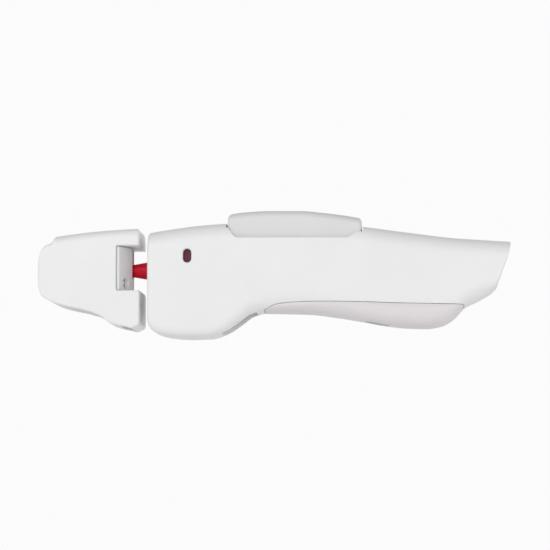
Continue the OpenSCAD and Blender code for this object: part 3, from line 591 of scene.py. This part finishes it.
def shell_cuts():
    """What both halves have cut out of them."""
    part = [(x, part_z(x)) for x in stations(PART_START, PART_END, 2)]
    part += [(PART_END, -GRIP_DROP - 10), (PART_START, -GRIP_DROP - 10)]
    notch_start, notch_end = BUTTON_START - BUTTON_GAP, BUTTON_END + BUTTON_GAP
    notch = rounded([(notch_start, FAR), (notch_start, 11.4), (BUTTON_START + 3.8, 4.5),
                     (BUTTON_END - 6.6, 4.3), (notch_end, 10.6), (notch_end, FAR)], 3.2)
    rail, pocket = RAIL_START - FIT, -NOSE_DROP - 5
    rim = [(NOSE - 0.1, SHANK / 2 + 0.9), (NOSE + 0.6, SHANK / 2 + 0.2)]
    return [rod("x", NOSE - 1, NOSE + END_WALL + 0.5, (0, BOLT_Z), SHANK + 0.6),
            turned("rim", "x", (0, BOLT_Z), rim),
            box((rail, -TUNNEL_HALF, -RAIL - FIT), (TIP + 5, TUNNEL_HALF, FIT)),
            box((rail, -POCKET_HALF, pocket), (UPRIGHT_END + FIT, POCKET_HALF, -RAIL + 2)),
            box((rail - POCKET_LEAD, -POCKET_HALF, pocket), (RAIL_START, POCKET_HALF, LEAD_TOP)),
            rod("z", -GRIP_DROP - 5, -RAIL + 1, (BAR_X, 0), BAR_BORE),
            slab(part, -1, FAR),
            slab(notch, -1, FAR),
            box((notch_start, -1, ROOF_TOP + 1), (notch_end, BUTTON_HALF + 0.4, FAR)),
            window(HALF_NOSE - WALL - 1.5, HALF_NOSE + 2, 0),
            window(half_depth(WINDOW_X) - 0.45, HALF_NOSE + 0.35, 0.8)]


def window(y0, y1, flare):
    """The indicator window as a tool, wider by flare at its outer end."""
    rings = []
    for y, extra in ((y0, 0), (y1, flare)):
        w, h = WINDOW[0] / 2 + extra, WINDOW[1] / 2 + extra
        ring = []
        for side in (0, 1):
            for i in range(13):
                a = math.radians(180 * side + 15 * i)
                z = (h - w) * (1 if side == 0 else -1) + w * math.sin(a)
                ring.append((WINDOW_X + w * math.cos(a), y, WINDOW_Z + z))
        rings.append(ring)
    return skin("window", rings)


def make_shells():
    """The back half with its screw and fixing holes, and the front half as its mirror."""
    back = shell_half("back_shell_moulding")
    holes = []
    for x, z in SCREWS:
        holes.append(rod("y", -1, FAR, (x, z), CLEAR_HOLE))
        holes.append(rod("y", SCREW_SEAT, FAR, (x, z), HEAD_D + 0.4))
    for x, z in RAIL_HOLES:
        holes.append(rod("y", 0, FAR, (x, z), FIXING_D))
    cut(back, holes)
    finish_piece(back, "handle", ["back_shell"], WHITE, bevel=0)

    front = shell_half("front_shell_moulding")
    cut(front, [rod("y", -1, 13, (x, z), THREAD_HOLE) for x, z in SCREWS])
    front.data.transform(Matrix.Scale(-1, 4, (0, 1, 0)))
    front.data.flip_normals()
    finish_piece(front, "handle", ["front_shell"], WHITE, bevel=0)


# ---------------------------------------------------------------- grip

def grip_ring(x):
    """The grip's whole outline across x, up to the parting line."""
    w = half_depth(x)
    low = under_z(x)
    high = part_z(x) - PART_GAP
    r = EDGE_RADIUS
    room = max(0.4, high - low)
    half = [(mix(0, w - r, k / 3), low) for k in range(1, 4)]
    for k in range(1, 15):
        z = low + room * (k / 14) ** 1.6
        rise = min(1.0, (z - low) / r)
        half.append((w - r + r * math.sqrt(max(0.0, 1 - (1 - rise) ** 2)), z))
    half = [(y - tuck(x, z) if y > w * 0.5 else y, z) for y, z in half]
    return [(x, y, z) for y, z in half] + [(x, -y, z) for y, z in reversed(half)]


def make_grip():
    """The grip insert, hollowed from above, with two lugs for the shell's screws."""
    grip = skin("grip_moulding", [grip_ring(x) for x in stations(along(0.004), along(0.81), 2)])
    hollow = stations(along(0.07), along(0.76), 4)
    core = [(x, under_z(x) + GRIP_FLOOR) for x in hollow] + [(along(0.76), 0), (along(0.07), 0)]
    cut(grip, [slab(core, -HALF_TIP + GRIP_WALL, HALF_TIP - GRIP_WALL)])
    lug_top = -RAIL - FIT - WEB - 0.3
    add(grip, [box((x - 4, -2, under_z(x) + 1.5), (x + 4, 2, lug_top)) for x, _ in SCREWS[2:]])
    cut(grip, [rod("y", -3, 3, (x, z), CLEAR_HOLE) for x, z in SCREWS[2:]]
        + [rod("z", -GRIP_DROP - 5, 0, (BAR_X, 0), BAR_BORE)])
    finish_piece(grip, "handle", ["grip_insert"], GRIP_GREY, bevel=0.2)


# ---------------------------------------------------------------- button

def button_ring(x, inset):
    """The button's outline across x, crowned on top."""
    w = BUTTON_HALF - inset
    r = 4.0
    crown = 0.8
    edge = button_z(x) - crown - inset
    half = [(w, mix(BUTTON_LOW.z, edge - r, k / 6)) for k in range(6)]
    half += [(w - r + r * math.cos(a), edge - r + r * math.sin(a)) for a in arc_angles(0, 82)]
    last_y, last_z = half[-1]
    half += [(last_y * (1 - f), last_z + (edge + crown - last_z) * (1 - (1 - f) ** 2))
             for f in (k / 6 for k in range(1, 7))]
    return [(x, y, z) for y, z in half] + [(x, -y, z) for y, z in reversed(half[:-1])]


def button_fittings(foot_top, screw_x):
    """Hooks at both ends, posts for the foot's screws, and posts inside the springs."""
    parts = []
    for side in (-1, 1):
        near, far = sorted((side * (TUNNEL_OUT + 0.6), side * (TUNNEL_OUT + 3.4)))
        for x in (BUTTON_START, BUTTON_END):
            top = top_z(x) - WALL - 1.8
            parts.append(box((x - HOOK, near, top - 1.8), (x + HOOK, far, top)))
        parts.append(rod("z", foot_top + 0.1, BUTTON_TOP_Z - 2.4, (screw_x, side * 7), BOSS_D))
    for x in SPRING_X:
        parts.append(rod("z", BUTTON_TOP_Z - 6.2, button_z(x) - 1.6, (x, 0), 7.6))
        parts.append(rod("z", ROOF_TOP + BUTTON_TRAVEL + 2, BUTTON_TOP_Z - 5.4, (x, 0), 3.4))
    return parts


def make_button():
    """The thumb button, with round ends, hollowed from below."""
    first, last = round_start(BUTTON_START, 1.9), round_finish(BUTTON_END, 1.4)
    middle = [(mix(first[-1][0], last[0][0], k / 34), 0.0) for k in range(1, 34)]
    button = skin("button_moulding", [button_ring(x, inset) for x, inset in first + middle + last])
    inner = [mix(BUTTON_START + BUTTON_WALL + 0.6, BUTTON_END - BUTTON_WALL, k / 20) for k in range(21)]
    core = [(x, button_z(x) - BUTTON_WALL - 1.2) for x in inner] + [(inner[-1], -5), (inner[0], -5)]
    side = TUNNEL_OUT + 0.4
    cut(button, [slab(core, -BUTTON_HALF + BUTTON_WALL, BUTTON_HALF - BUTTON_WALL),
                 box((BUTTON_START - 1, -side, -5), (BUTTON_START + 5, side, 8.6)),
                 box((BUTTON_END - 5, -side, -5),
                     (BUTTON_END + 1, side, ROOF_TOP + BUTTON_TRAVEL + 0.5))])
    foot_low, foot_high = node_box("wedge_foot")
    screw_x = (foot_low.x + 3 + foot_high.x - 1.5) / 2
    add(button, button_fittings(foot_high.z, screw_x))
    cut(button, [rod("z", foot_low.z, BUTTON_TOP_Z - 2.6, (screw_x, side * 7), THREAD_HOLE)
                 for side in (-1, 1)])
    finish_piece(button, "button", ["thumb_button"], BUTTON_GREY)


# ---------------------------------------------------------------- keeper

def soft_ring(x, low, high, half, inset, r_top, r_low):
    """A whole outline across x: a rectangle with rounded upper and lower edges, drawn in by inset."""
    w, z0, z1 = half - inset, low + inset, high - inset
    most = z1 - z0 - 0.1
    q = max(0.2, min(r_low, most / 3))
    r = max(0.2, min(r_top, most - q))
    ring = [(mix(0, w - q, k / 4), z0) for k in range(1, 4)]
    ring += [(w - q + q * math.cos(a), z0 + q + q * math.sin(a)) for a in arc_angles(-90, 0)]
    ring += [(w, mix(z0 + q, z1 - r, k / 6)) for k in range(1, 6)]
    ring += [(w - r + r * math.cos(a), z1 - r + r * math.sin(a)) for a in arc_angles(0, 90)]
    ring += [(mix(w - r, 0, k / 4), z1) for k in range(1, 4)]
    return [(x, y, z) for y, z in ring] + [(x, -y, z) for y, z in reversed(ring)]


def soft_block(name, xs, low, high, half, ends, radii):
    """A block lofted along X between two height lines, with rounded ends and edges."""
    first, last = ends
    marks = round_start(xs[0], first)
    marks += [(x, 0.0) for x in xs if xs[0] + first + 0.3 < x < xs[-1] - last - 0.3]
    marks += round_finish(xs[-1], last)
    return skin(name, [soft_ring(x, low(x), high(x), half, inset, radii(x), 1.2) for x, inset in marks])


def keeper_block():
    """The keeper cap's outside: a rounder roof over slanted cheeks, and a chin below the mouth."""
    left, right = KEEPER_LOW.x, KEEPER_HIGH.x
    low, high, half = KEEPER_LOW.z, KEEPER_HIGH.z, KEEPER_HIGH.y
    lip_x = right - 0.3
    roof = smooth_line([(left, -5), (left + 2, -0.6), (left + 4.5, 1.6), (left + 6.6, 2.4),
                        (left + 7.6, 4), (left + 8.8, 5.7), (left + 10.5, 6.1),
                        (MOUTH_X - 1.5, high - 0.1), (MOUTH_X, high - 0.05), (lip_x, high - 0.9)])
    under = smooth_line([(left, -19), (left + 0.7, -22), (left + 2.4, -24.5),
                         (POST_FACE - 3, low + 6.1), (POST_FACE - 1, low + 4.6),
                         (POST_FACE + 1, low + 3), (MOUTH_X - 4, low + 0.4), (MOUTH_X - 2.5, low),
                         (MOUTH_X - 1.4, low + 0.5), (right, low + 1.8)])
    cap = soft_block("keeper_moulding", [mix(left, lip_x, k / 60) for k in range(61)], under, roof,
                     half, (1.8, 0.9), lambda x: mix(1.6, 5.0, smoothstep((x - left - 5) / 6)))
    chin = soft_block("chin", [mix(MOUTH_FLOOR - 3, right, k / 16) for k in range(17)], under,
                      lambda x: MOUTH_LOW - 0.01, half, (0.6, 1.1), lambda x: 1.2)
    return add(cap, [chin])


def keeper_mouth():
    """The mouth across the cap as tools, with a small flare at each side."""
    half = KEEPER_HIGH.y
    mouth = rounded([(MOUTH_FLOOR, MOUTH_TOP), (MOUTH_X + 8, MOUTH_TOP), (MOUTH_X + 8, MOUTH_LOW),
                     (MOUTH_FLOOR, MOUTH_LOW)], 0.9)
    wide = [(x - 0.5 if x < MOUTH_FLOOR + 4 else x, z + math.copysign(0.5, z + 10)) for x, z in mouth]
    flares = [skin("flare", [[(x, side * (half - 0.5), z) for x, z in mouth],
                             [(x, side * (half + 0.05), z) for x, z in wide]]) for side in (-1, 1)]
    return [slab(mouth, -half - 9, half + 9),
            box((MOUTH_FLOOR, -half + 1.2, MOUTH_LOW), (MOUTH_X, half - 1.2, MOUTH_TOP))] + flares


def keeper_cores():
    """Moulding cores over the post and inside the cheeks, round the bosses of the fixing holes."""
    cores = []
    for side in (-1, 1):
        near, far = sorted((side * 3.5, side * 8.5))
        cores.append(box((3.5, near, -1), (POST_FACE - 3, far, ROOF_LOW - 1.5)))
        near, far = sorted((side * 12.0, side * 15.0))
        cheek = box((KEEPER_LOW.x + 3, near, KEEPER_LOW.z - 3), (POST_FACE - 3, far, -2))
        cores.append(cut(cheek, [rod("y", near - 1, far + 1, hole, FIXING_BOSS_D)
                                 for hole in POST_HOLES]))
    return cores


def make_keeper():
    """The keeper cap, cut for the post, the mouth, the fixings and the strike's screws."""
    low, half = KEEPER_LOW.z, KEEPER_HIGH.y
    bore = FIXING_D / 2
    lead = [(half - 0.5, bore), (half + 0.1, bore + 0.6)]
    keeper = keeper_block()
    cut(keeper, [box((KEEPER_LOW.x - 5, -POST_HALF, low - 5), (POST_FACE + 0.1, POST_HALF, 0)),
                 box((MOUTH_FLOOR + 1.6, -half + 3, low - 2), (MOUTH_X - 2.6, half - 3, MOUTH_LOW - 3))]
        + keeper_mouth() + keeper_cores()
        + [rod("y", 0, half + 9, hole, FIXING_D) for hole in POST_HOLES]
        + [turned("lead", "y", hole, lead) for hole in POST_HOLES]
        + [rod("x", POST_FACE + 0.7, MOUTH_FLOOR + 1, (y, MOUTH_LOW + 4), THREAD_HOLE)
           for y in (-10, 10)])
    finish_piece(keeper, "keeper", ["keeper_cap"], WHITE, bevel=0)


# ---------------------------------------------------------------- bolt, screws and springs

def make_bolt():
    """The bolt: a narrow tip, a cone, the shank with the cross pin's hole, and the clipped tail."""
    tip, tail = BOLT_LOW.x, BOLT_HIGH.x
    cone = tip + 4.4
    shoulder = PIN_X + 3.5
    r, t, k = TIP_D / 2, TAIL_D / 2, SHANK / 2
    clip_x = node_box("tail_clip")[0].x
    profile = [(tip, r - 0.75), (tip + 0.12, r - 0.4), (tip + 0.35, r - 0.12), (tip + 0.75, r),
               (cone - 0.5, r), (cone - 0.15, r + 0.08), (cone, r + 0.25),
               (NOSE - 0.3, k - 0.05), (NOSE, k), (shoulder - 0.4, k), (shoulder, k - 0.4),
               (shoulder, t + 0.3), (shoulder + 0.3, t), (clip_x - 0.05, t), (clip_x - 0.05, t - 0.6),
               (clip_x + 0.85, t - 0.6), (clip_x + 0.85, t), (tail - 0.5, t), (tail, t - 0.5)]
    bolt = turned("bolt_turning", "x", (0, BOLT_Z), profile)
    cut(bolt, [rod("y", -SHANK, SHANK, (PIN_X, BOLT_Z), 3.1)])
    finish_piece(bolt, "bolt", ["latch_bolt"], RED, bevel=0.08)


def screw(name, length, place, turn, body, node):
    """A pan head screw with a cross recess and a thread, its head's underside at place."""
    r = SCREW_D / 2
    pitch = 1.1
    turns = int((length - 1.6) / pitch)
    thread = [(-length, 0.25), (-length + 0.9, r - 0.45)]
    for i in range(turns):
        z = -length + 1.0 + i * pitch
        thread += [(z + 0.25, r - 0.4), (z + 0.55, r), (z + 0.68, r), (z + 0.95, r - 0.4)]
    head = [(-0.2, r - 0.3), (0, r), (0.001, HEAD_D / 2 - 0.15), (0.15, HEAD_D / 2), (0.8, HEAD_D / 2)]
    head += [(0.8 + 0.8 * math.sin(a), HEAD_D / 2 - 1.1 * (1 - math.cos(a)))
             for a in arc_angles(15, 90)]
    made = turned(name, "z", (0, 0), thread + head, 32)
    slots = [box((-1.4, -0.35, 0.7), (1.4, 0.35, 3)), box((-0.35, -1.4, 0.7), (0.35, 1.4, 3)),
             turned("point", "z", (0, 0), [(0.4, 0.2), (1.7, 0.75)], 16)]
    cut(made, slots)
    made.data.transform(Matrix.Translation(place) @ turn)
    return finish_piece(made, body, [node], ZINC, bevel=0.05, sharp=30)


def make_screws():
    """Four screws through the shell, two in the strike and two in the wedge foot."""
    back = Matrix.Rotation(-math.pi / 2, 4, "X")
    for i, (x, z) in enumerate(SCREWS, 1):
        screw(f"shell_screw_{i}", SCREW_LENGTH, (x, SCREW_SEAT, z), back, "handle", "shell_screws")
    low, high = node_box("strike_screws")
    side = Matrix.Rotation(math.pi / 2, 4, "Y")
    seat_x, z = high.x - HEAD_H, (low.z + high.z) / 2
    for i, y in enumerate((low.y + HEAD_D / 2, high.y - HEAD_D / 2), 1):
        screw(f"strike_screw_{i}", seat_x - low.x, (seat_x, y, z), side, "keeper", "strike_screws")
    low, high = node_box("wedge_screws")
    down = Matrix.Rotation(math.pi, 4, "X")
    x, length = (low.x + high.x) / 2, high.z - low.z - HEAD_H
    for i, y in enumerate((low.y + HEAD_D / 2, high.y - HEAD_D / 2), 1):
        screw(f"wedge_screw_{i}", length, (x, y, low.z + HEAD_H), down, "button", "wedge_screws")


def coil(name, radius, wire, length, turns):
    """A compression spring along +Z with a round wire; its end coils are closed at a low pitch."""
    steps, sides = 28, 10
    total = int((turns + 2) * steps)
    closed = 0.9
    pitch = 0.55 * wire
    points = []
    for i in range(total + 1):
        t = i / steps
        share = min(1.0, max(0.0, (t - closed) / (turns + 2 - 2 * closed)))
        rise = pitch * (min(t, closed) + max(0.0, t - (turns + 2 - closed)))
        z = wire / 2 + rise + share * (length - wire - 2 * pitch * closed)
        a = 2 * math.pi * t
        points.append(Vector((radius * math.cos(a), radius * math.sin(a), z)))
    rings = []
    for i, p in enumerate(points):
        run = (points[min(i + 1, total)] - points[max(i - 1, 0)]).normalized()
        out = Vector((p.x, p.y, 0)).normalized()
        up = run.cross(out)
        rings.append([p + (out * math.cos(b) + up * math.sin(b)) * wire / 2
                      for b in (2 * math.pi * j / sides for j in range(sides))])
    return skin(name, rings)


def make_springs():
    """The bolt's spring and the button's two."""
    low, high = node_box("bolt_spring")
    length, travel = high.x - low.x, BOLT_TRAVEL
    radius = (high.y - low.y) / 2 - 0.35
    spring = coil("bolt_spring_coil", radius, 0.7, length, 5)
    spring.data.transform(Matrix.Translation((low.x, 0, BOLT_Z)) @ Matrix.Rotation(math.pi / 2, 4, "Y"))
    finish_piece(spring, "handle", ["bolt_spring"], SPRING_STEEL, bevel=0, sharp=60)
    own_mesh(spring)
    low, high = node_box("button_springs")
    length, travel = high.z - low.z, BUTTON_TRAVEL
    for i, x in enumerate(SPRING_X, 1):
        spring = coil(f"button_spring_coil_{i}", 2.9, 0.6, length, 5)
        spring.data.transform(Matrix.Translation((x, 0, low.z)))
        finish_piece(spring, "handle", ["button_springs"], SPRING_STEEL,
                     bevel=0, sharp=60)
        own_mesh(spring)


# ---------------------------------------------------------------- plain CAD nodes

def dress_nodes():
    """Materials and soft edges for the CAD nodes whose shapes stay."""
    # The indicator flags take the red acetal darkened as painted shade.
    finishes = {"strike_block": (STRIKE_GREY, 0.3), "bolt_bush": (NYLON, 0.25),
                "spring_plate": (ZINC, 0.2), "wedge_foot": (NYLON, 0.2), "draw_bar": (NYLON, 0.3),
                "cross_pin": (ZINC, 0.15), "pin_clips": (ZINC, 0.08),
                "indicator_flags": (SHADED_FLAG_RED, 0.12), "tail_clip": (ZINC, 0.08)}
    for name, (finish, width) in finishes.items():
        node = frame["nodes"][name]
        node.data.materials.clear()
        node.data.materials.append(finish)
        soften(node, WELD * MM, width * MM, sharp=35)


# ---------------------------------------------------------------- studio

def make_floor():
    """A plain pale floor, well below the latch."""
    floor_z = -0.36
    size = 12
    mesh = bpy.data.meshes.new("floor")
    mesh.from_pydata([(-size, -size, floor_z), (size, -size, floor_z), (size, size, floor_z),
                      (-size, size, floor_z)], [], [(0, 1, 2, 3)])
    floor = bpy.data.objects.new("floor", mesh)
    bpy.context.scene.collection.objects.link(floor)
    paint = bpy.data.materials.new("floor_paper")
    paint.use_nodes = True
    shader = paint.node_tree.nodes["Principled BSDF"]
    shader.inputs["Base Color"].default_value = (0.88, 0.88, 0.88, 1)
    shader.inputs["Roughness"].default_value = 0.9
    shader.inputs["Emission Color"].default_value = (1, 1, 1, 1)
    shader.inputs["Emission Strength"].default_value = 0.2
    mesh.materials.append(paint)


def make_tent():
    """A light tent that is dimmer overhead."""
    world = bpy.data.worlds.new("tent")
    bpy.context.scene.world = world
    world.use_nodes = True
    nodes, links = world.node_tree.nodes, world.node_tree.links
    place = nodes.new("ShaderNodeTexCoord")
    split = nodes.new("ShaderNodeSeparateXYZ")
    ramp = nodes.new("ShaderNodeValToRGB")
    lift = nodes.new("ShaderNodeMapRange")
    lift.inputs["From Min"].default_value = -1
    lift.inputs["From Max"].default_value = 1
    ramp.color_ramp.elements[0].position = 0.62
    ramp.color_ramp.elements[0].color = (0.97, 0.97, 0.97, 1)
    ramp.color_ramp.elements[1].position = 0.95
    ramp.color_ramp.elements[1].color = (0.22, 0.22, 0.225, 1)
    links.new(place.outputs["Generated"], split.inputs["Vector"])
    links.new(split.outputs["Z"], lift.inputs["Value"])
    links.new(lift.outputs["Result"], ramp.inputs["Fac"])
    links.new(ramp.outputs["Color"], nodes["Background"].inputs["Color"])
    nodes["Background"].inputs["Strength"].default_value = 1.0


def make_lamps():
    """Two soft lamps in front, aimed at the middle of the latch."""
    middle = Vector((0.1, 0, -0.015))
    lamps = (("key", (-0.5, -1.2, 0.55), 0.7, 4.0), ("fill", (0.9, -1.3, 0.1), 1.2, 2.6))
    for name, place, size, power in lamps:
        data = bpy.data.lights.new(name, "AREA")
        data.size = size
        data.energy = power
        lamp = bpy.data.objects.new(name, data)
        lamp.location = place
        aim = middle - Vector(place)
        lamp.rotation_euler = aim.to_track_quat("-Z", "Y").to_euler()
        bpy.context.scene.collection.objects.link(lamp)


def make_camera():
    """A long lens, a little below the latch and just to its right."""
    centre = Vector(((KEEPER_LOW.x + TIP) / 2, 0, (BUTTON_TOP_Z - NOSE_DROP) / 2)) * MM
    azimuth, elevation, distance = math.radians(3), math.radians(-5), 1.35
    away = Vector((math.sin(azimuth) * math.cos(elevation), -math.cos(azimuth) * math.cos(elevation),
                   math.sin(elevation)))
    data = bpy.data.cameras.new("camera")
    data.lens = 175
    camera = bpy.data.objects.new("camera", data)
    camera.location = centre + away * distance
    camera.rotation_euler = (-away).to_track_quat("-Z", "Y").to_euler()
    bpy.context.scene.collection.objects.link(camera)
    bpy.context.scene.camera = camera


make_camera()
make_floor()
make_tent()
make_lamps()
make_keeper()
make_shells()
make_grip()
make_button()
make_bolt()
make_screws()
make_springs()
dress_nodes()
bpy.context.scene.view_settings.view_transform = "Standard"


def corners(bounds):
    return [[float(c) for c in corner] for corner in bounds]
